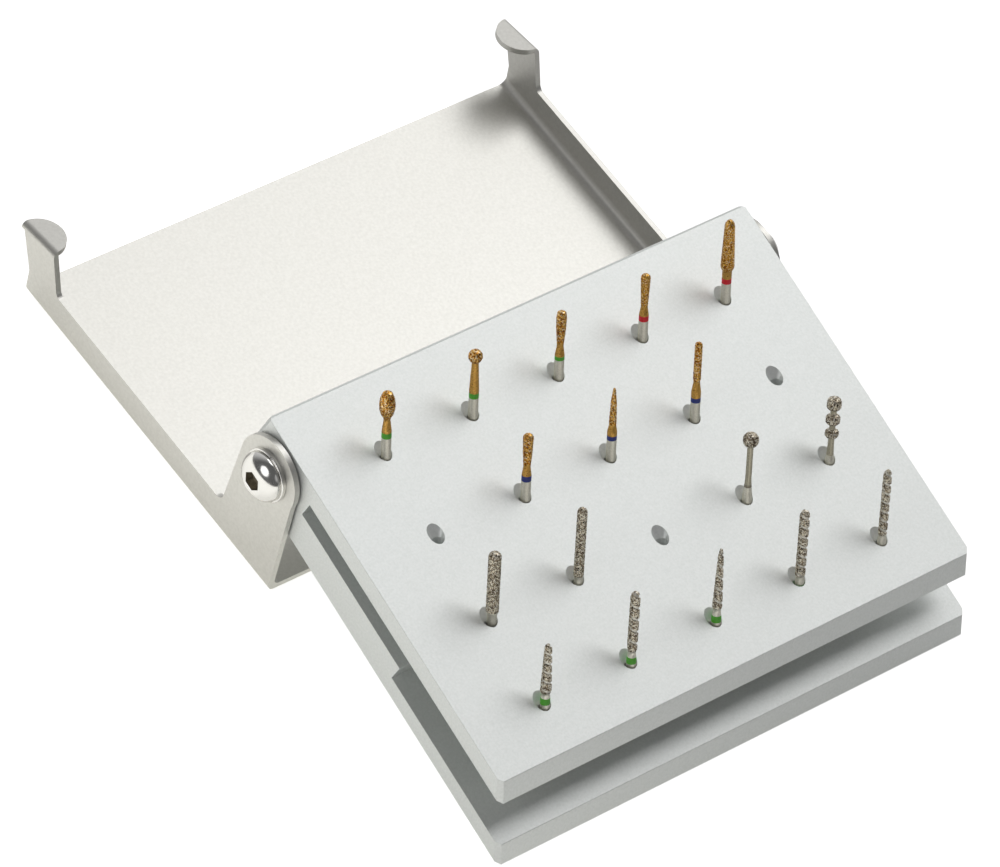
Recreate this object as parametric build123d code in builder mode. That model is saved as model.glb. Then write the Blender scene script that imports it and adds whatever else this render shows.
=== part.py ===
"""Hinged dental bur block, with its lid folded back as a foot and its burs standing in their holes.

Millimetres, +Z up. The table is Z = 0, the hinge axis runs along X through Y = 0, and the block
leans forward so that its front foot edge touches the table while the lid lies flat behind it.
"""
from build123d import *
from math import asin, atan2, cos, degrees, hypot, radians, sin, tan
import os

os.makedirs("parts", exist_ok=True)

# Block: a deck over a stepped base, all one piece
block_width = 100.0
deck_depth = 68.3
deck_thickness = 3.5
slot_height = 3.2
gap_height = 6.5
foot_thickness = 3.2
step_back = 24.6
slot_end = 53.5
corner_chamfer = 0.8
back_chamfer = 0.5
block_height = deck_thickness + gap_height + foot_thickness

# Bur holes: five columns by four rows, leaning back from the deck's normal
bur_lean = 34.0
column_pitch = 17.9
row_pitch = 15.6
first_column_inset = 14.7
front_row_inset = 8.2
sink_half_angle = 28.0
sink_depth = 0.6
bore_diameter = 2.0
base_seat_depth = 1.5
foot_seat_depth = 0.8
shank_diameter = 1.6
narrow_tip = 0.4
rest_gap = 0.02

# Hinge
hinge_setback = 61.7
hinge_drop = 6.9
hinge_height = 20.5
screw_diameter = 4.0
screw_hole_clearance = 0.02
screw_hole_depth = 10.0
pivot_clearance = 0.05
side_gap = 0.3
washer_diameter = 9.1
washer_thickness = 0.7
washer_edge = 0.2
head_diameter = 8.5
head_height = 2.5
head_rim = 0.5
socket_flats = 3.0
socket_depth = 1.5

# Lid: one folded sheet
sheet = 1.0
lid_tail = 8.6
lid_reach = 57.7
flange_height = 6.0
ear_radius = 6.6
ear_waist = 6.2
fold_radius = 1.5
tab_bend_radius = 1.2
throat_radius = 1.4
notch_height = 4.8
notch_reach = 58.4
prong_inner_foot = 51.3
prong_tip_inner = 55.0
prong_tip_outer = 62.7
tab_radius = 4.2
tab_centre_inset = 0.6
tab_pitch = 9.0
tab_middle = 59.0
tab_top = 12.4

# The tilt that brings the foot's front edge down to the table
foot_reach = hinge_setback + block_height * tan(radians(bur_lean))
foot_drop = block_height - hinge_drop
tilt = asin(hinge_height / hypot(foot_reach, foot_drop)) - atan2(foot_drop, foot_reach)

deck_back = Vector(0, cos(tilt), sin(tilt))
deck_up = Vector(0, -sin(tilt), cos(tilt))
hinge_point = Vector(0, 0, hinge_height)
front_edge = hinge_point - deck_back * hinge_setback + deck_up * hinge_drop
deck = Plane(origin=front_edge, x_dir=(1, 0, 0), z_dir=deck_up)
side = Plane(origin=front_edge, x_dir=deck_back, z_dir=(1, 0, 0))
bur_up = deck_back * sin(radians(bur_lean)) + deck_up * cos(radians(bur_lean))


def along_bur(depth_below_deck):
    """Distance down a bur's axis to a level that lies this far under the deck's face."""
    return depth_below_deck / cos(radians(bur_lean))


def mouth(row, column):
    """Plane at one hole's mouth, its Z up the bur's axis. Row 0 is the back row."""
    x = first_column_inset - block_width / 2 + column * column_pitch
    y = front_row_inset + (3 - row) * row_pitch
    return Plane(origin=deck.from_local_coords((x, y, 0)), x_dir=(1, 0, 0), z_dir=bur_up)


def seat_level(row):
    """Depth of a bur seat's floor below the mouth, along the bur's axis."""
    if row < 2:
        return along_bur(deck_thickness + slot_height) + base_seat_depth
    return along_bur(deck_thickness + gap_height) + foot_seat_depth


# Block
with BuildPart() as block:
    with BuildSketch(side):
        lean = tan(radians(bur_lean))
        slot_floor = deck_thickness + slot_height
        gap_floor = deck_thickness + gap_height
        with BuildLine():
            Polyline(
                (0, 0),
                (deck_depth, 0),
                (deck_depth, -block_height),
                (-block_height * lean, -block_height),
                (-gap_floor * lean, -gap_floor),
                (step_back, -gap_floor),
                (step_back, -slot_floor),
                (slot_end, -slot_floor),
                (slot_end, -deck_thickness),
                (-deck_thickness * lean, -deck_thickness),
                close=True,
            )
        make_face()
    extrude(amount=block_width / 2, both=True)
    back_edge = block.edges().filter_by(Axis.X).sort_by(Axis(front_edge, deck_up + deck_back))[-1]
    chamfer(back_edge, back_chamfer)
    front_corners = block.edges().filter_by(lambda e: abs((e % 0.5).dot(bur_up)) > 0.999)
    back_corners = block.edges().filter_by(lambda e: abs((e % 0.5).dot(deck_up)) > 0.999)
    back_corners = back_corners.filter_by(lambda e: side.to_local_coords(e.center()).X > deck_depth - 0.01)
    chamfer(front_corners + back_corners, corner_chamfer)
    sink_height = sink_depth + 3
    sink_top_radius = bore_diameter / 2 + sink_height * tan(radians(sink_half_angle))
    for row in range(4):
        mouths = [mouth(row, column) for column in range(5)]
        with Locations([Location(m.offset(-sink_depth)) for m in mouths]):
            Cone(bore_diameter / 2, sink_top_radius, sink_height,
                 align=(Align.CENTER, Align.CENTER, Align.MIN), mode=Mode.SUBTRACT)
        with Locations([Location(m.offset(-seat_level(row))) for m in mouths]):
            Cylinder(bore_diameter / 2, seat_level(row), align=(Align.CENTER, Align.CENTER, Align.MIN),
                     mode=Mode.SUBTRACT)
    for outward in (-1, 1):
        screw_plane = Plane(origin=(outward * block_width / 2, 0, hinge_height), z_dir=(outward, 0, 0))
        with BuildSketch(screw_plane):
            Circle(screw_diameter / 2 + screw_hole_clearance)
        extrude(amount=-screw_hole_depth, mode=Mode.SUBTRACT)
block.part.label = "block"
export_step(block.part, "parts/block.step")


# Lid: a flat sheet with two folded flanges, each with a hinge ear, a leaning prong and a bent tab
lid_inner = block_width / 2 + side_gap
lid_outer = lid_inner + sheet
tab_slope = tan(radians(tab_pitch))
prong_top_inner = tab_top + (tab_middle - prong_tip_inner) * tab_slope
prong_top_outer = tab_top + (tab_middle - prong_tip_outer) * tab_slope

with BuildPart() as lid:
    channel_top = hinge_height + ear_radius + 1
    with BuildSketch(Plane.XZ.offset(lid_tail)) as channel:
        with Locations((0, channel_top / 2)):
            Rectangle(2 * lid_outer, channel_top)
        fillet(channel.vertices().group_by(Axis.Z)[0], fold_radius)
        with BuildSketch(Plane.XZ.offset(lid_tail), mode=Mode.SUBTRACT) as hollow:
            with Locations((0, sheet + channel_top / 2)):
                Rectangle(2 * lid_inner, channel_top)
            fillet(hollow.vertices().group_by(Axis.Z)[0], fold_radius - sheet)
    extrude(amount=-(lid_tail + prong_tip_outer + 1))
    with BuildSketch(Plane.YZ):
        with BuildLine():
            Line((-lid_tail, 0), (-ear_radius, hinge_height - 1))
            ThreePointArc((-ear_radius, hinge_height - 1), (0, hinge_height + ear_radius),
                          (ear_radius, hinge_height - 1))
            Polyline(
                (ear_radius, hinge_height - 1),
                (ear_waist, flange_height),
                (prong_inner_foot, flange_height),
                (prong_tip_inner, prong_top_inner),
                (prong_tip_outer, prong_top_outer),
                (notch_reach, notch_height),
                (lid_reach, 0),
                (-lid_tail, 0),
            )
        make_face()
    extrude(amount=lid_outer, both=True, mode=Mode.INTERSECT)
    # the throat between ear and flange, and the prong's foot, are radiused
    throat = lid.edges().filter_by(Axis.X).filter_by(
        lambda e: e.length < 2 * sheet and abs(e.center().Z - flange_height) < 0.01)
    fillet(throat, throat_radius)
    # bent tab on top of the prong
    tab_plane = Plane(origin=(-lid_outer, tab_middle, tab_top), x_dir=(1, 0, 0),
                      z_dir=(0, sin(radians(tab_pitch)), cos(radians(tab_pitch))))
    with BuildSketch(tab_plane):
        with Locations((tab_centre_inset, 0)):
            Circle(tab_radius)
        with Locations((-tab_radius, 0)):
            Rectangle(2 * tab_radius, 2 * tab_radius, mode=Mode.SUBTRACT)
    extrude(amount=-sheet)
    bend = lid.edges().filter_by(
        lambda e: abs(e.center().X + lid_outer) < 0.01 and abs(tab_plane.to_local_coords(e.center()).Z) < 0.01)
    fillet(bend, tab_bend_radius)
    with BuildSketch(Plane.YZ.offset(-lid_outer)):
        with Locations((0, hinge_height)):
            Circle(screw_diameter / 2 + pivot_clearance)
    extrude(amount=sheet, mode=Mode.SUBTRACT)
    split(bisect_by=Plane.YZ, keep=Keep.BOTTOM)
    mirror(about=Plane.YZ)
lid.part.label = "lid"
export_step(lid.part, "parts/lid.step")


# Hinge screws and washers: the same pair on each side
washer_inner = lid_outer + pivot_clearance
head_seat = washer_inner + washer_thickness
screw_end = block_width / 2 - screw_hole_depth


def make_washer(outward, name):
    """Flat washer between the ear and the screw's head."""
    with BuildPart() as washer:
        with BuildSketch(Plane(origin=(outward * washer_inner, 0, hinge_height), z_dir=(outward, 0, 0))):
            Circle(washer_diameter / 2)
            Circle(screw_diameter / 2 + pivot_clearance, mode=Mode.SUBTRACT)
        extrude(amount=washer_thickness)
        fillet(washer.edges().filter_by(GeomType.CIRCLE).group_by(Axis.X)[-1 if outward > 0 else 0].sort_by(
            SortBy.RADIUS)[-1], washer_edge)
    washer.part.label = name
    export_step(washer.part, f"parts/{name}.step")


def make_screw(outward, name):
    """Button-head screw with a hexagon socket, its axis along X."""
    shoulder = screw_diameter / 2
    with BuildPart() as screw:
        with BuildSketch(Plane(origin=(outward * head_seat, 0, hinge_height), x_dir=(outward, 0, 0),
                               z_dir=(0, -outward, 0))):
            with BuildLine():
                Polyline((0, 0), (screw_end - head_seat, 0), (screw_end - head_seat, shoulder - 0.4),
                         (screw_end - head_seat + 0.4, shoulder), (0, shoulder), (0, head_diameter / 2 - 0.15),
                         (0.15, head_diameter / 2), (head_rim, head_diameter / 2))
                ThreePointArc((head_rim, head_diameter / 2), (head_height * 0.72, head_diameter * 0.36),
                              (head_height, socket_flats * 0.72))
                Polyline((head_height, socket_flats * 0.72), (head_height, 0), (0, 0))
            make_face()
        revolve(axis=Axis((0, 0, hinge_height), (1, 0, 0)))
        with BuildSketch(Plane(origin=(outward * (head_seat + head_height), 0, hinge_height),
                               z_dir=(outward, 0, 0))):
            RegularPolygon(socket_flats / 2, 6, major_radius=False, rotation=20)
        extrude(amount=-socket_depth, mode=Mode.SUBTRACT)
    screw.part.label = name
    export_step(screw.part, f"parts/{name}.step")


make_washer(-1, "hinge_washer_left")
make_washer(1, "hinge_washer_right")
make_screw(-1, "hinge_screw_left")
make_screw(1, "hinge_screw_right")


# Burs: each outline is (radius, height above the hole's mouth) from the collar up to the tip
def make_bur(name, row, column, sideways, collar, neck, head, tip):
    """One bur, standing on its seat and leaning sideways a little in its loose hole.

    collar is where the full shank ends. neck and head are (radius, height) points joined by
    straight tapers, and a rounded nose closes the tip. A narrow tip ends in a half ball.
    """
    at_rest = mouth(row, column).offset(-seat_level(row) + rest_gap)
    touching = (bore_diameter - shank_diameter) / 2 - 0.08
    reach = seat_level(row) - along_bur(deck_thickness) + 1.4
    shift = touching - reach * tan(radians(sideways))
    base = at_rest * Location((shift, 0, 0), (0, sideways, 0))
    base_height = seat_level(row) - rest_gap
    outline = [(0, 0), (shank_diameter / 2 - 0.2, 0), (shank_diameter / 2, 0.2)]
    outline += [(shank_diameter / 2, collar + base_height)]
    outline += [(r, h + base_height) for r, h in neck + head]
    top = tip + base_height
    last_radius, last_height = outline[-1]
    with BuildPart() as turned:
        with BuildSketch(Plane.XZ):
            with BuildLine():
                Polyline(*outline)
                if last_radius < narrow_tip:
                    CenterArc((0, last_height), last_radius, 0, 90)
                    top = last_height + last_radius
                else:
                    Bezier((last_radius, last_height), (last_radius, last_height + (top - last_height) * 0.55),
                           (last_radius * 0.55, top), (0, top))
                Line((0, top), (0, 0))
            make_face()
        revolve(axis=Axis.Z)
    with BuildPart() as bur:
        with Locations(base):
            add(turned.part)
    bur.part.label = name
    export_step(bur.part, f"parts/{name}.step")


# Back two rows: gold-coated burs with a colour ring on the shank
make_bur("bur_egg", 0, 0, 0.3, 4.6, [(0.55, 6.6)], [(0.62, 7.1), (1.0, 7.8), (1.25, 8.8), (1.31, 9.7),
                                                    (1.16, 10.8), (0.85, 11.6)], 12.1)
make_bur("bur_ball", 0, 1, 0.8, 4.6, [(0.56, 9.9)], [(0.85, 10.2), (1.1, 10.65), (1.17, 11.05), (1.1, 11.5),
                                                     (0.85, 11.85)], 12.2)
make_bur("bur_pear", 0, 2, 1.0, 3.9, [(0.55, 5.6)], [(0.6, 6.4), (0.8, 8.9), (0.86, 10.9), (0.76, 11.7)], 12.25)
make_bur("bur_small_pear", 0, 3, 0.6, 4.3, [(0.55, 5.8)], [(0.59, 6.2), (0.73, 9.4), (0.8, 11.2)], 12.0)
make_bur("bur_shouldered_taper", 0, 4, 0.6, 5.4, [], [(1.0, 5.7), (1.12, 6.1), (1.12, 6.6), (0.86, 13.3)], 14.7)
make_bur("bur_round_pear", 1, 1, 0.9, 4.1, [(0.58, 5.9)], [(0.62, 6.4), (0.78, 8.9), (0.86, 11.4)], 12.25)
make_bur("bur_flame", 1, 2, 0.9, 4.9, [(0.6, 6.0)], [(0.6, 7.2), (0.48, 10.6), (0.22, 12.93)], 13.15)
make_bur("bur_round_taper", 1, 3, 0.6, 4.9, [(0.53, 6.8)], [(0.63, 7.3), (0.63, 13.6)], 14.25)

# Front two rows: uncoated silver burs
make_bur("bur_wide_cylinder", 2, 0, 1.2, 0.9, [(0.8, 1.3)], [(1.03, 1.8), (1.03, 12.5)], 13.4)
make_bur("bur_cylinder", 2, 1, 1.5, -1.2, [(0.68, 0.2)], [(0.82, 0.8), (0.82, 13.0)], 14.0)
make_bur("bur_long_neck_ball", 2, 3, 0.9, 0.6, [(0.66, 1.8), (0.5, 4.0), (0.5, 10.2)],
         [(0.9, 10.45), (1.2, 10.9), (1.3, 11.5), (1.2, 12.1), (0.9, 12.5)], 12.75)
make_bur("bur_three_bead", 2, 4, 1.7, -0.4, [(0.58, 1.0), (0.5, 4.3)],
         [(0.9, 4.45), (1.15, 4.8), (1.15, 5.35), (0.9, 5.7), (0.5, 5.8), (0.5, 6.9), (0.9, 7.05),
          (1.18, 7.4), (1.18, 8.25), (0.9, 8.6), (0.5, 8.75), (0.5, 9.75), (0.9, 9.9), (1.2, 10.3),
          (1.2, 11.35), (1.0, 11.75)], 12.05)
make_bur("bur_spiral_short", 3, 0, 1.5, 0.9, [(0.68, 2.1)], [(0.92, 2.6), (0.62, 10.8)], 11.75)
make_bur("bur_spiral_wide", 3, 1, 1.4, 0.7, [(0.62, 2.0)], [(0.78, 2.6), (0.83, 4.0), (0.8, 12.6)], 13.9)
make_bur("bur_spiral_needle", 3, 2, 1.5, 0.75, [(0.62, 2.2)], [(0.82, 2.8), (0.46, 12.6), (0.25, 13.8)], 14.05)
make_bur("bur_spiral_long", 3, 3, 1.6, -0.6, [(0.66, 0.6)], [(0.83, 1.2), (0.83, 12.6)], 13.9)
make_bur("bur_spiral_slim", 3, 4, 1.7, -0.6, [(0.62, 0.8)], [(0.74, 1.4), (0.72, 12.4)], 13.95)
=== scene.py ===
"""Looks of the hinged bur block: finishes, bur heads, studio and camera. Metres, in the row frame."""

import bmesh
import bpy
import math
import random
from collections import namedtuple
from mathutils import Matrix, Vector, noise


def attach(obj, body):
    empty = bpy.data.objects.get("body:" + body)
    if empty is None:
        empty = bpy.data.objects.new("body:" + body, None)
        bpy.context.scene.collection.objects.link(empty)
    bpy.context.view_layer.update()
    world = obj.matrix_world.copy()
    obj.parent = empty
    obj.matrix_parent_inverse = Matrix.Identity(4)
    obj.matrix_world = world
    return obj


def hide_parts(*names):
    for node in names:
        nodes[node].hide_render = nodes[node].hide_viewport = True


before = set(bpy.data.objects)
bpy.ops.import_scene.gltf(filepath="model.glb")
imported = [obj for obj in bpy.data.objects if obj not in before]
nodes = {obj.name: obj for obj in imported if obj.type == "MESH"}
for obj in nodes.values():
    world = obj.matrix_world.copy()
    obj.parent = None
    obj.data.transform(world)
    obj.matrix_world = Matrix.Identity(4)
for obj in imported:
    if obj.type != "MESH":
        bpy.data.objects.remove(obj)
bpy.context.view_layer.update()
random.seed(7)

MM = 0.001
HAIR = 1e-6  # smaller than any length that counts
AROUND = 96

# Block and lid, in metres and square metres
LEAN_UP = Vector((0.0, 0.379273, 0.925285))  # axis of the holes and the burs
PLANE_AREA = 6e-6
WELD = 2e-6
SHEET = 1.0 * MM
FOLD_INNER = 0.5 * MM
FOLD_SEEN = 1.4 * MM
FLANGE_FROM_Y = 0.04
SAME_PLANE = math.radians(0.5)
BREAK_ABOVE = math.radians(35)
SMOOTH_BELOW = math.radians(27)
BREAK_SEGMENTS = 2
BREAK_PROFILE = 0.6
BLOCK_BREAK = 0.00012
BLOCK_SHORTEST_EDGE = 0.0015
LID_BREAK = 0.00010
LID_SHORTEST_EDGE = 0.006
LARGE_FACE_WEIGHT = 90

# Hinge screws, in millimetres
HINGE_Z = 20.5
HEAD_RADIUS = 4.25
HEAD_HEIGHT = 2.5
HEAD_RIM = 0.5
HEAD_EDGE = 0.15
HEAD_FLAT = 2.16
DOME_RADIUS = 5.0
DOME_START = 10
DOME_SPAN = 52
DOME_STEPS = 12
THREAD_RADIUS = 2.0
THREAD_CHAMFER = 0.4
SOCKET = 1.5
SOCKET_EDGE = 0.07
SOCKET_DEPTH = 1.5
SOCKET_DIP = 0.25
SOCKET_STRIPS = 2
CENTRE_RADIUS = 0.02
SAME_LEVEL = 0.01
SIXTH = math.pi / 3
SCREW_SHARP = math.radians(32)

# Burs, in millimetres
BACK_SEAT = 9.5817  # from a back hole's mouth down its axis to its seat
FRONT_SEAT = 12.862
REST_GAP = 0.02
NEAR_SIDE = -2.302  # angle round a bur's axis that faces the camera, in radians
AXIS_ROUNDS = 4
FOOT_BAND = 0.04
HEAD_STEP = 0.065
LEAST_STEP = 0.004
POINT_RADIUS = 0.02
SHANK_START = -20  # lower than any bur's foot
RING_LIFT = 0.5
SEED_REACH = 40
GRIT_FADE = 0.25
GRIT_FALL = 1.25
GRIT_MEAN = 0.45
FINE_SHARE = 0.25
FINE_RATE = 2.1
CELL_EXPONENT = 2.5
GROOVE_EDGE = 0.12
BUR_SHARP = math.radians(38)

# Finishes
SPOT_LOW = 0.3
SPOT_HIGH = 0.7
GRAIN_BUMP = 0.05
GRAIN_DEPTH = 0.0001
RING_SHADE = 0.86
GRIT_STOPS = (0.24, 0.46, 0.68, 0.86)
GRIT_BUMP = 0.5
GRIT_DEPTH = 0.00004
FINE_GRIT_RATE = 1.5

# Stage, in metres and levels of light
SKY_PLAIN = 0.12
SKY_BACK = 0.53
SKY_TOWARDS = (0.55, 0.78, 0.28)
SKY_EDGE = 0.3
SKY_CORE = 0.97
FLOOR_SIZE = 6
FLOOR_Z = -0.0002
FLOOR_PAINT = 0.86
FLOOR_ROUGH = 0.9
FLOOR_SEEN = 0.75
FLOOR_LEFT = 0.77
FLOOR_RIGHT = 0.15
FLOOR_LEFT_X = -0.10
FLOOR_RIGHT_X = 0.06
WHITE = (1.0, 1.0, 1.0)
WARM_WHITE = (1.0, 0.99, 0.92)
LENS = 281.115
SENSOR = 36.0
CLIP_START = 0.05
CLIP_END = 20.0
CAMERA_PLACE = (-0.69749, -0.45452, 0.94498)
CAMERA_TURN = (0.677546, -0.277681, -0.667819)

Spiral = namedtuple("Spiral", "pitch height width depth")


# Materials
class Finish:
    """One Principled material, with textures in the object's own space."""

    def __init__(self, name, metallic=0.0):
        self.mat = bpy.data.materials.new(name)
        self.mat.use_nodes = True
        self.nodes = self.mat.node_tree.nodes
        self.links = self.mat.node_tree.links
        self.bsdf = self.nodes["Principled BSDF"]
        self.bsdf.inputs["Metallic"].default_value = metallic
        self.coord = self.nodes.new("ShaderNodeTexCoord").outputs["Object"]

    def noise(self, scale, detail=2.0, rough=0.5, stretch=None):
        tex = self.nodes.new("ShaderNodeTexNoise")
        tex.inputs["Scale"].default_value = scale
        tex.inputs["Detail"].default_value = detail
        tex.inputs["Roughness"].default_value = rough
        self.links.new(self.stretched(stretch), tex.inputs["Vector"])
        return tex.outputs["Fac"]

    def stretched(self, stretch):
        if stretch is None:
            return self.coord
        mapping = self.nodes.new("ShaderNodeMapping")
        mapping.inputs["Scale"].default_value = stretch
        self.links.new(self.coord, mapping.inputs["Vector"])
        return mapping.outputs["Vector"]

    def cells(self, scale, output):
        tex = self.nodes.new("ShaderNodeTexVoronoi")
        tex.inputs["Scale"].default_value = scale
        self.links.new(self.coord, tex.inputs["Vector"])
        return tex.outputs[output]

    def ramp(self, source, stops):
        node = self.nodes.new("ShaderNodeValToRGB")
        elements = node.color_ramp.elements
        while len(elements) < len(stops):
            elements.new(0.5)
        for element, (position, colour) in zip(elements, stops):
            element.position = position
            element.color = (*colour, 1.0)
        self.links.new(source, node.inputs["Fac"])
        return node.outputs["Color"]

    def vary(self, socket, low, high, scale, detail=2.0, rough=0.5, stretch=None):
        """Lets one input wander between two values with a fine noise."""
        spots = self.noise(scale, detail, rough, stretch)
        self.links.new(self.ramp(spots, [(SPOT_LOW, low), (SPOT_HIGH, high)]), self.bsdf.inputs[socket])

    def bump(self, height, strength, distance):
        node = self.nodes.new("ShaderNodeBump")
        node.inputs["Strength"].default_value = strength
        node.inputs["Distance"].default_value = distance
        self.links.new(height, node.inputs["Height"])
        self.links.new(node.outputs["Normal"], self.bsdf.inputs["Normal"])


def grey(level):
    return (level, level, level)


def anodised():
    finish = Finish("anodised_satin", metallic=0.5)
    finish.vary("Base Color", (0.815, 0.84, 0.82), (0.90, 0.92, 0.905), 2400, detail=3, rough=0.6)
    finish.vary("Roughness", grey(0.43), grey(0.47), 3200)
    finish.bump(finish.noise(5200, rough=0.6), GRAIN_BUMP, GRAIN_DEPTH)
    return finish.mat


def blasted_steel():
    finish = Finish("blasted_sheet", metallic=0.85)
    finish.vary("Base Color", (0.625, 0.616, 0.58), (0.69, 0.681, 0.645), 1800, detail=3, rough=0.6)
    finish.vary("Roughness", grey(0.40), grey(0.44), 3200)
    finish.bump(finish.noise(4200, rough=0.6), GRAIN_BUMP, GRAIN_DEPTH)
    return finish.mat


def polished_steel():
    finish = Finish("polished_steel", metallic=1.0)
    finish.vary("Base Color", (0.74, 0.73, 0.71), (0.80, 0.79, 0.77), 200)
    finish.vary("Roughness", grey(0.12), grey(0.18), 500)
    return finish.mat


def shank_steel():
    finish = Finish("shank_steel", metallic=0.8)
    finish.vary("Base Color", (0.70, 0.67, 0.57), (0.98, 0.95, 0.84), 6500, detail=3, rough=0.6)
    finish.vary("Roughness", grey(0.26), grey(0.36), 2500, stretch=(1, 1, 0.05))
    return finish.mat


def neck_steel():
    finish = Finish("neck_steel", metallic=0.85)
    finish.vary("Base Color", (0.42, 0.385, 0.29), (0.60, 0.56, 0.44), 5000, detail=3, rough=0.6)
    finish.vary("Roughness", grey(0.26), grey(0.36), 2500)
    return finish.mat


# Dark steel whose darkness is painted shade; it lines the screws' hex sockets and one bur's flare.
def painted_shade_steel():
    finish = Finish("painted_shade_steel", metallic=0.8)
    finish.vary("Base Color", (0.30, 0.27, 0.21), (0.44, 0.40, 0.32), 2000)
    finish.vary("Roughness", grey(0.35), grey(0.5), 1500)
    return finish.mat


def groove_steel():
    finish = Finish("groove_steel", metallic=0.85)
    finish.vary("Base Color", (0.72, 0.69, 0.61), (0.84, 0.81, 0.73), 3000)
    finish.vary("Roughness", grey(0.34), grey(0.44), 2500)
    return finish.mat


def gold_plate():
    finish = Finish("gold_plate", metallic=0.7)
    finish.vary("Base Color", (0.52, 0.27, 0.05), (0.78, 0.45, 0.11), 5000, detail=3, rough=0.6)
    finish.vary("Roughness", grey(0.24), grey(0.36), 2500)
    return finish.mat


def ring_paint(name, colour):
    finish = Finish(name)
    finish.vary("Base Color", tuple(c * RING_SHADE for c in colour), colour, 2500)
    finish.vary("Roughness", grey(0.32), grey(0.42), 2000)
    return finish.mat


def grit(name, painted_gap_shade, mid, light, scale, metallic):
    """Facets of four tones on random cells: the lowest is painted shade in the gaps, the highest a painted
    glint; the two between are the grit's own uneven colour.
    """
    finish = Finish(name, metallic)
    # The brightest tone is a painted glint: the light tone taken half way to white.
    painted_glint = tuple(0.5 + 0.5 * c for c in light)
    tones = finish.ramp(finish.cells(scale, "Color"), list(zip(GRIT_STOPS, (painted_gap_shade, mid, light, painted_glint))))
    finish.links.new(tones, finish.bsdf.inputs["Base Color"])
    finish.vary("Roughness", grey(0.22), grey(0.5), scale * FINE_GRIT_RATE)
    finish.bump(finish.cells(scale, "Distance"), GRIT_BUMP, GRIT_DEPTH)
    return finish.mat


FINISHES = {
    "block": anodised(),
    "lid": blasted_steel(),
    "polished": polished_steel(),
    "shank": shank_steel(),
    "neck": neck_steel(),
    # dark steel of painted shade, for the screws' sockets and one bur's flare
    "socket": painted_shade_steel(),
    "gold": gold_plate(),
    "green": ring_paint("ring_green", (0.13, 0.60, 0.05)),
    "red": ring_paint("ring_red", (1.0, 0.02, 0.04)),
    "blue": ring_paint("ring_blue", (0.03, 0.05, 0.30)),
    # Each grit's first tone is painted shade for the gaps between grains; the glint made from its light
    # tone is painted too.
    "gold_grit": grit("gold_grit", (0.14, 0.03, 0.003), (0.66, 0.24, 0.018), (1.0, 0.66, 0.17), 6200, 0.9),
    "gold_fine": grit("gold_fine_grit", (0.28, 0.085, 0.006), (0.60, 0.24, 0.02), (1.0, 0.64, 0.14),
                      7500, 0.9),
    "silver_grit": grit("silver_grit", (0.06, 0.038, 0.022), (0.38, 0.305, 0.205), (0.95, 0.87, 0.69),
                        6200, 0.6),
    "groove": groove_steel(),
}


# Block, lid and hinge
def widen_folds(bm):
    """Opens the small inner radius of the lid's two folds to the softer one that shows."""
    flange = max(abs(v.co.x) for v in bm.verts if v.co.y > FLANGE_FROM_Y) - SHEET
    grow = FOLD_SEEN / FOLD_INNER
    near = FOLD_INNER + HAIR
    for v in bm.verts:
        aside = flange - abs(v.co.x)
        above = v.co.z - SHEET
        if -HAIR < aside < near and -HAIR < above < near:
            v.co.x = math.copysign(flange - aside * grow, v.co.x)
            v.co.z = SHEET + above * grow


def crisp(name, break_width, shortest_edge):
    """A copy of a CAD node with small breaks along its long sharp edges, shown in its place."""
    mesh = nodes[name].data.copy()
    bm = bmesh.new()
    bm.from_mesh(mesh)
    bmesh.ops.remove_doubles(bm, verts=bm.verts, dist=WELD)
    if name == "lid":
        widen_folds(bm)
    bmesh.ops.dissolve_limit(bm, angle_limit=SAME_PLANE, verts=bm.verts, edges=bm.edges)
    sharp = [e for e in bm.edges if len(e.link_faces) == 2 and e.calc_length() > shortest_edge
             and e.calc_face_angle(0.0) > BREAK_ABOVE]
    bmesh.ops.bevel(bm, geom=sharp, offset=break_width, segments=BREAK_SEGMENTS, profile=BREAK_PROFILE,
                    affect="EDGES", clamp_overlap=True)
    for face in bm.faces:
        face.smooth = face.calc_area() <= PLANE_AREA
    bmesh.ops.triangulate(bm, faces=[f for f in bm.faces if len(f.verts) > 4])
    for edge in bm.edges:
        edge.smooth = edge.calc_face_angle(0.0) < SMOOTH_BELOW
    bm.to_mesh(mesh)
    bm.free()
    obj = bpy.data.objects.new(name + "_finished", mesh)
    bpy.context.scene.collection.objects.link(obj)
    mesh.materials.clear()
    mesh.materials.append(FINISHES[name])
    even = obj.modifiers.new("even_normals", "WEIGHTED_NORMAL")
    even.weight = LARGE_FACE_WEIGHT
    even.keep_sharp = True
    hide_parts(name)
    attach(obj, "lid" if name == "lid" else "base")


def screw_outline(end):
    """(radius, height over the head's seat, six-sided) of a screw's rings, from its end to its socket."""
    dome = []
    for i in range(DOME_STEPS + 1):
        angle = math.radians(DOME_START + DOME_SPAN * i / DOME_STEPS)
        dome.append((DOME_RADIUS * math.cos(angle), DOME_RADIUS * math.sin(angle)))
    (r0, h0), (r1, h1) = dome[0], dome[-1]
    dome = [(HEAD_FLAT + (r - r1) * (HEAD_RADIUS - HEAD_FLAT) / (r0 - r1),
             HEAD_RIM + (h - h0) * (HEAD_HEIGHT - HEAD_RIM) / (h1 - h0)) for r, h in dome]
    thread = [(CENTRE_RADIUS, end), (THREAD_RADIUS - THREAD_CHAMFER, end),
              (THREAD_RADIUS, end + THREAD_CHAMFER), (THREAD_RADIUS, 0),
              (HEAD_RADIUS - HEAD_EDGE, 0), (HEAD_RADIUS, HEAD_EDGE)]
    floor_height = HEAD_HEIGHT - SOCKET_DEPTH
    socket = [(SOCKET + SOCKET_EDGE, HEAD_HEIGHT, True), (SOCKET, HEAD_HEIGHT - SOCKET_EDGE, True),
              (SOCKET, floor_height, True), (CENTRE_RADIUS, floor_height - SOCKET_DIP, False)]
    return [(r, h, False) for r, h in thread + dome] + socket


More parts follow.
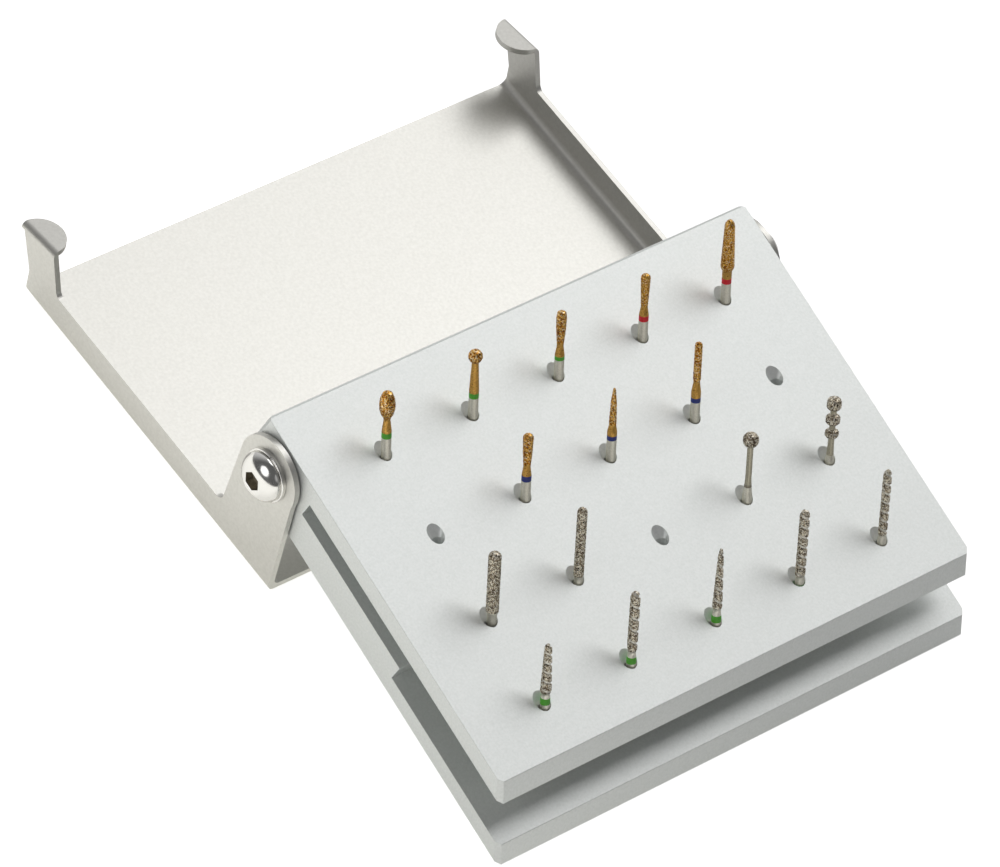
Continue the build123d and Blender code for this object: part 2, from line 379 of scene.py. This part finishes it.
def screw(name):
    """A button head with a smooth dome and a hexagon socket, on the CAD screw's own axis."""
    points = [v.co for v in nodes[name].data.vertices]
    out = 1.0 if points[0].x > 0 else -1.0
    top = max(abs(p.x) for p in points) / MM
    end = min(abs(p.x) for p in points) / MM
    seat = top - HEAD_HEIGHT
    rim = [p for p in points if abs(abs(p.x) / MM - top) < SAME_LEVEL]
    corner = min(rim, key=lambda p: math.hypot(p.y, p.z - HINGE_Z * MM))
    start = math.atan2(corner.z - HINGE_Z * MM, corner.y)
    bm = bmesh.new()
    loops = []
    for r, h, six in screw_outline(end - seat):
        loop = []
        for k in range(AROUND):
            turn = 2 * math.pi * k / AROUND
            reach = r / math.cos(turn % SIXTH - SIXTH / 2) if six else r
            y = reach * math.cos(start + turn)
            z = HINGE_Z + reach * math.sin(start + turn)
            loop.append(bm.verts.new((out * (seat + h) * MM, y * MM, z * MM)))
        loops.append(loop)
    strips = list(zip(loops, loops[1:]))
    for i, (a, b) in enumerate(strips):
        for k in range(AROUND):
            m = (k + 1) % AROUND
            face = bm.faces.new((a[k], a[m], b[m], b[k]))
            # The socket's walls and floor take the dark steel, which is painted shade in the recess.
            face.material_index = 1 if i >= len(strips) - SOCKET_STRIPS else 0
    bmesh.ops.recalc_face_normals(bm, faces=bm.faces)
    mesh = bpy.data.meshes.new(name + "_domed")
    bm.to_mesh(mesh)
    bm.free()
    mesh.shade_smooth()
    mesh.set_sharp_from_angle(angle=SCREW_SHARP)
    mesh.materials.append(FINISHES["polished"])
    mesh.materials.append(FINISHES["socket"])
    obj = bpy.data.objects.new(name + "_domed", mesh)
    bpy.context.scene.collection.objects.link(obj)
    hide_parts(name)
    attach(obj, "base")


crisp("block", BLOCK_BREAK, BLOCK_SHORTEST_EDGE)
crisp("lid", LID_BREAK, LID_SHORTEST_EDGE)
screw("hinge_screw_left")
screw("hinge_screw_right")
for washer in ("hinge_washer_left", "hinge_washer_right"):
    nodes[washer].data.materials.clear()
    nodes[washer].data.materials.append(FINISHES["polished"])


# Burs, each built again from its own CAD outline
def outline_of(name):
    """Foot point, axis, and (height, radius) outline in millimetres of a turned CAD node."""
    points = [v.co.copy() for v in nodes[name].data.vertices]
    axis = LEAN_UP.copy()
    for _ in range(AXIS_ROUNDS):
        low = min(p.dot(axis) for p in points)
        foot = [p for p in points if p.dot(axis) < low + FOOT_BAND * MM]
        side = axis.cross(Vector((1, 0, 0))).normalized()
        other = axis.cross(side)
        a = [p.dot(side) for p in foot]
        b = [p.dot(other) for p in foot]
        base = axis * low + side * (min(a) + max(a)) / 2 + other * (min(b) + max(b)) / 2
        top = max(points, key=lambda p: p.dot(axis))
        axis = (top - base).normalized()
    outline = {}
    for p in points:
        height = (p - base).dot(axis)
        radius = (p - base - axis * height).length
        key = round(height / MM, 2)
        outline[key] = max(outline.get(key, 0.0), radius / MM)
    return base, axis, sorted(outline.items())


def radius_at(outline, height):
    if height <= outline[0][0]:
        return outline[0][1]
    for (h0, r0), (h1, r1) in zip(outline, outline[1:]):
        if h0 <= height <= h1:
            return r0 + (r1 - r0) * (height - h0) / max(h1 - h0, HAIR)
    return outline[-1][1]


def ring_heights(outline, zones, head, mouth):
    """Heights of a bur's rings: the outline's corners, the zones' edges and fine steps up the head."""
    start = head + mouth
    top = outline[-1][0]
    heights = {h for h, _ in outline if h < start}
    heights |= {z + mouth for z, _ in zones if z + mouth > 0}
    count = int((top - start) / HEAD_STEP)
    heights |= {start + (top - start) * i / count for i in range(count + 1)}
    heights = sorted(heights)
    heights = [heights[0]] + [b for a, b in zip(heights, heights[1:]) if b - a > LEAST_STEP]
    if radius_at(outline, heights[-1]) < POINT_RADIUS:
        heights.pop()
    return heights


def grit_height(place):
    """How far the grit stands over or under the outline at a place, in shares of its relief."""
    nearest = noise.voronoi(place, distance_metric="DISTANCE", exponent=CELL_EXPONENT)[0][0]
    return max(0.0, 1.0 - nearest * GRIT_FALL) + FINE_SHARE * noise.noise(place * FINE_RATE) - GRIT_MEAN


def in_groove(spiral, turn, over_mouth):
    """How far a place lies in the spiral groove, from 0 outside it to 1 on its floor."""
    winding = (over_mouth - spiral.height) / spiral.pitch + (turn - NEAR_SIDE) / (2 * math.pi)
    off = abs(winding - round(winding)) * spiral.pitch
    return 1.0 - max(0.0, min(1.0, 0.5 + (off - spiral.width / 2) / GROOVE_EDGE))


def finish_at(zones, over_mouth):
    found = zones[0][1]
    for start, finish in zones:
        if over_mouth >= start - HAIR:
            found = finish
    return found


def make_bur(name, seat, zones, head, grain, relief, tall, spiral=None):
    """Builds one bur again with grit and grooves on its head, and shows it in the CAD node's place.

    Heights are over the hole's mouth. zones: (from height, finish), upwards. head: where the grit starts.
    grain, relief: width and height of the grit. tall: length over the mouth as a share of the solid's.
    spiral: the groove's pitch, one height of it on the near side, its width and its depth.
    """
    base, axis, outline = outline_of(name)
    mouth = seat - REST_GAP
    outline = [(h if h < mouth else mouth + (h - mouth) * tall, r) for h, r in outline]
    top = outline[-1][0]
    seed = Vector([random.uniform(-SEED_REACH, SEED_REACH) for _ in range(3)])
    bm = bmesh.new()
    rings = []
    bare = set()
    for h in ring_heights(outline, zones, head, mouth):
        gritty = h > head + mouth
        fade = min(1.0, (h - head - mouth) / GRIT_FADE)
        plain_radius = radius_at(outline, h)
        ring = []
        for k in range(AROUND):
            turn = 2 * math.pi * k / AROUND
            r = plain_radius
            if gritty:
                groove = in_groove(spiral, turn, h - mouth) if spiral else 0.0
                place = Vector((r * math.cos(turn), r * math.sin(turn), h)) / grain + seed
                r += grit_height(place) * relief * fade * (1.0 - groove)
                if spiral:
                    r -= groove * spiral.depth * fade
                if groove > 0.5:
                    bare.add((len(rings), k))
            ring.append(bm.verts.new((r * math.cos(turn) * MM, r * math.sin(turn) * MM, h * MM)))
        rings.append((h, ring))
    tip = bm.verts.new((0, 0, top * MM))
    foot = bm.verts.new((0, 0, rings[0][0] * MM))
    finishes = list(dict.fromkeys([finish for _, finish in zones] + (["groove"] if spiral else [])))
    for i, ((h0, a), (h1, b)) in enumerate(zip(rings, rings[1:])):
        finish = finish_at(zones, (h0 + h1) / 2 - mouth)
        for k in range(AROUND):
            m = (k + 1) % AROUND
            face = bm.faces.new((a[k], a[m], b[m], b[k]))
            face.smooth = True
            grooved = (i, k) in bare and (i + 1, k) in bare
            face.material_index = finishes.index("groove" if grooved else finish)
    first, last = rings[0][1], rings[-1][1]
    for k in range(AROUND):
        m = (k + 1) % AROUND
        face = bm.faces.new((last[k], last[m], tip))
        face.smooth = True
        face.material_index = finishes.index(finish_at(zones, top - mouth))
        bm.faces.new((first[m], first[k], foot))
    mesh = bpy.data.meshes.new(name + "_detailed")
    bm.to_mesh(mesh)
    bm.free()
    for finish in finishes:
        mesh.materials.append(FINISHES[finish])
    mesh.set_sharp_from_angle(angle=BUR_SHARP)
    obj = bpy.data.objects.new(name + "_detailed", mesh)
    bpy.context.scene.collection.objects.link(obj)
    across = Vector((1, 0, 0))
    across = (across - axis * across.dot(axis)).normalized()
    up = axis.cross(across)
    obj.matrix_world = Matrix.Translation(base) @ Matrix((across, up, axis)).transposed().to_4x4()
    bpy.context.view_layer.update()
    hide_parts(name)
    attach(obj, "base")


def gold_bur(name, colour, ring, head, grain, relief, tall, grit_finish="gold_grit"):
    """A gold-coated bur of the two back rows. ring: lower and upper height of its painted ring."""
    low, high = ring
    zones = [(SHANK_START, "shank"), (low + RING_LIFT, colour), (high + RING_LIFT, "gold"),
             (head, grit_finish)]
    make_bur(name, BACK_SEAT, zones, head, grain, relief, tall)


def silver_bur(name, zones, head, relief, tall, grain=0.2, spiral=None):
    """An uncoated bur of the two front rows. zones: those above the bare shank."""
    zones = [(SHANK_START, "shank")] + zones
    make_bur(name, FRONT_SEAT, zones, head, grain, relief, tall, spiral)


def spiral_bur(name, ring, head, relief, spiral, tall):
    """A grooved bur of the front row. ring: lower and upper height of its green ring, or None."""
    zones = [(head, "silver_grit")]
    if ring:
        low, high = ring
        zones = [(low + RING_LIFT, "green"), (high + RING_LIFT, "shank")] + zones
    silver_bur(name, zones, head, relief, tall, grain=0.16, spiral=spiral)


gold_bur("bur_egg", "green", ring=(2.7, 3.7), head=6.8, grain=0.24, relief=0.08, tall=0.965)
gold_bur("bur_ball", "green", ring=(2.75, 3.7), head=9.8, grain=0.24, relief=0.08, tall=0.98)
gold_bur("bur_pear", "green", ring=(2.6, 3.3), head=6.3, grain=0.22, relief=0.07, tall=0.985)
gold_bur("bur_small_pear", "red", ring=(2.7, 3.7), head=6.0, grain=0.14, relief=0.035, tall=0.99,
         grit_finish="gold_fine")
gold_bur("bur_shouldered_taper", "red", ring=(2.65, 3.6), head=5.6, grain=0.14, relief=0.035, tall=1.02,
         grit_finish="gold_fine")
gold_bur("bur_round_pear", "blue", ring=(2.6, 3.6), head=6.2, grain=0.2, relief=0.06, tall=0.96)
gold_bur("bur_flame", "blue", ring=(2.85, 3.65), head=6.0, grain=0.2, relief=0.06, tall=0.98)
gold_bur("bur_round_taper", "blue", ring=(2.6, 3.45), head=7.0, grain=0.2, relief=0.06, tall=1.0)

silver_bur("bur_wide_cylinder", [(1.8, "silver_grit")], head=1.8, relief=0.07, tall=0.952)
silver_bur("bur_cylinder", [(0.7, "silver_grit")], head=0.7, relief=0.06, tall=0.955)
# Its band at 2.3 to 2.8 mm, on the flare under the neck, takes the dark socket steel: painted shade.
silver_bur("bur_long_neck_ball", [(2.3, "socket"), (2.8, "neck"), (10.2, "silver_grit")],
           head=10.2, relief=0.06, tall=0.965)
silver_bur("bur_three_bead", [(0.9, "neck"), (4.35, "silver_grit"), (5.75, "neck"), (6.95, "silver_grit"),
                              (8.7, "neck"), (9.8, "silver_grit")], head=4.3, relief=0.06, tall=0.96)

spiral_bur("bur_spiral_short", ring=(-0.35, 0.8), head=2.3, relief=0.035,
           spiral=Spiral(pitch=1.72, height=6.2, width=0.46, depth=0.2), tall=0.955)
spiral_bur("bur_spiral_wide", ring=(-0.57, 0.6), head=2.2, relief=0.035,
           spiral=Spiral(pitch=2.2, height=6.3, width=0.5, depth=0.2), tall=0.953)
spiral_bur("bur_spiral_needle", ring=(-0.57, 0.65), head=2.5, relief=0.03,
           spiral=Spiral(pitch=2.25, height=8.4, width=0.46, depth=0.15), tall=0.965)
spiral_bur("bur_spiral_long", ring=(-2.6, -1.2), head=0.9, relief=0.035,
           spiral=Spiral(pitch=1.83, height=6.6, width=0.48, depth=0.2), tall=0.953)
spiral_bur("bur_spiral_slim", ring=None, head=1.1, relief=0.03,
           spiral=Spiral(pitch=1.75, height=5.6, width=0.46, depth=0.18), tall=0.958)


# Stage: floor, lamps, world and camera
def soft_step(tree, value, low, high, at_low, at_high):
    """A soft step from at_low to at_high while value goes from low to high."""
    step = tree.nodes.new("ShaderNodeMapRange")
    step.interpolation_type = "SMOOTHSTEP"
    tree.links.new(value, step.inputs["Value"])
    for key, number in (("From Min", low), ("From Max", high), ("To Min", at_low), ("To Max", at_high)):
        step.inputs[key].default_value = number
    return step.outputs["Result"]


def arith(tree, operation, a, b):
    """One maths node on two values, each a number or a socket."""
    node = tree.nodes.new("ShaderNodeMath")
    node.operation = operation
    for socket, value in zip(node.inputs, (a, b)):
        if isinstance(value, float):
            socket.default_value = value
        else:
            tree.links.new(value, socket)
    return node.outputs[0]


def floor():
    """A pale table that keeps the object's shadow.

    It also glows, evenly for the camera, and for mirror rays brightly on the left and dimly on the right.
    """
    bpy.ops.mesh.primitive_plane_add(size=FLOOR_SIZE, location=(0, 0, FLOOR_Z))
    obj = bpy.context.object
    obj.name = "floor"
    finish = Finish("floor_white")
    finish.bsdf.inputs["Base Color"].default_value = (*grey(FLOOR_PAINT), 1)
    finish.bsdf.inputs["Roughness"].default_value = FLOOR_ROUGH
    tree = finish.mat.node_tree
    path = finish.nodes.new("ShaderNodeLightPath")
    split = finish.nodes.new("ShaderNodeSeparateXYZ")
    finish.links.new(finish.coord, split.inputs[0])
    mirrored = soft_step(tree, split.outputs["X"], FLOOR_LEFT_X, FLOOR_RIGHT_X, FLOOR_LEFT, FLOOR_RIGHT)
    mirrored = arith(tree, "MULTIPLY", mirrored, path.outputs["Is Glossy Ray"])
    seen = arith(tree, "MULTIPLY", FLOOR_SEEN, path.outputs["Is Camera Ray"])
    warmth = finish.ramp(path.outputs["Is Glossy Ray"], [(0.0, WHITE), (1.0, WARM_WHITE)])
    glow = finish.nodes.new("ShaderNodeEmission")
    finish.links.new(warmth, glow.inputs["Color"])
    finish.links.new(arith(tree, "ADD", mirrored, seen), glow.inputs["Strength"])
    add = finish.nodes.new("ShaderNodeAddShader")
    finish.links.new(finish.bsdf.outputs[0], add.inputs[0])
    finish.links.new(glow.outputs[0], add.inputs[1])
    finish.links.new(add.outputs[0], finish.nodes["Material Output"].inputs["Surface"])
    obj.data.materials.append(finish.mat)


def lamp(name, place, width, watts):
    """A round soft lamp that looks at the middle of the object."""
    data = bpy.data.lights.new(name, "AREA")
    data.shape = "DISK"
    data.size = width
    data.energy = watts
    obj = bpy.data.objects.new(name, data)
    bpy.context.scene.collection.objects.link(obj)
    obj.location = place
    obj.rotation_euler = (-Vector(place)).to_track_quat("-Z", "Y").to_euler()


def sky():
    """A plain level and one broad soft glow behind on the right; the camera itself sees white."""
    world = bpy.data.worlds.new("studio")
    bpy.context.scene.world = world
    world.use_nodes = True
    tree = world.node_tree
    where = tree.nodes.new("ShaderNodeTexCoord").outputs["Generated"]
    towards = tree.nodes.new("ShaderNodeVectorMath")
    towards.operation = "DOT_PRODUCT"
    towards.inputs[1].default_value = Vector(SKY_TOWARDS).normalized()
    tree.links.new(where, towards.inputs[0])
    glow = soft_step(tree, towards.outputs["Value"], SKY_EDGE, SKY_CORE, 0.0, SKY_BACK)
    path = tree.nodes.new("ShaderNodeLightPath")
    level = arith(tree, "MAXIMUM", arith(tree, "ADD", SKY_PLAIN, glow), path.outputs["Is Camera Ray"])
    tree.links.new(level, tree.nodes["Background"].inputs["Strength"])
    tree.nodes["Background"].inputs["Color"].default_value = (*WHITE, 1)


def camera():
    """The photograph's viewpoint."""
    data = bpy.data.cameras.new("camera")
    data.sensor_fit = "HORIZONTAL"
    data.sensor_width = SENSOR
    data.lens = LENS
    data.clip_start = CLIP_START
    data.clip_end = CLIP_END
    obj = bpy.data.objects.new("camera", data)
    bpy.context.scene.collection.objects.link(obj)
    obj.location = CAMERA_PLACE
    obj.rotation_euler = CAMERA_TURN
    bpy.context.scene.camera = obj


floor()
lamp("key", place=(0.8, 0.3, 1.2), width=1.1, watts=6.0)
lamp("left", place=(-0.75, 0.0, 0.46), width=0.6, watts=1.2)
lamp("front", place=(0.0, -1.2, 0.8), width=0.8, watts=0.47)
sky()
camera()
bpy.context.scene.view_settings.view_transform = "Standard"
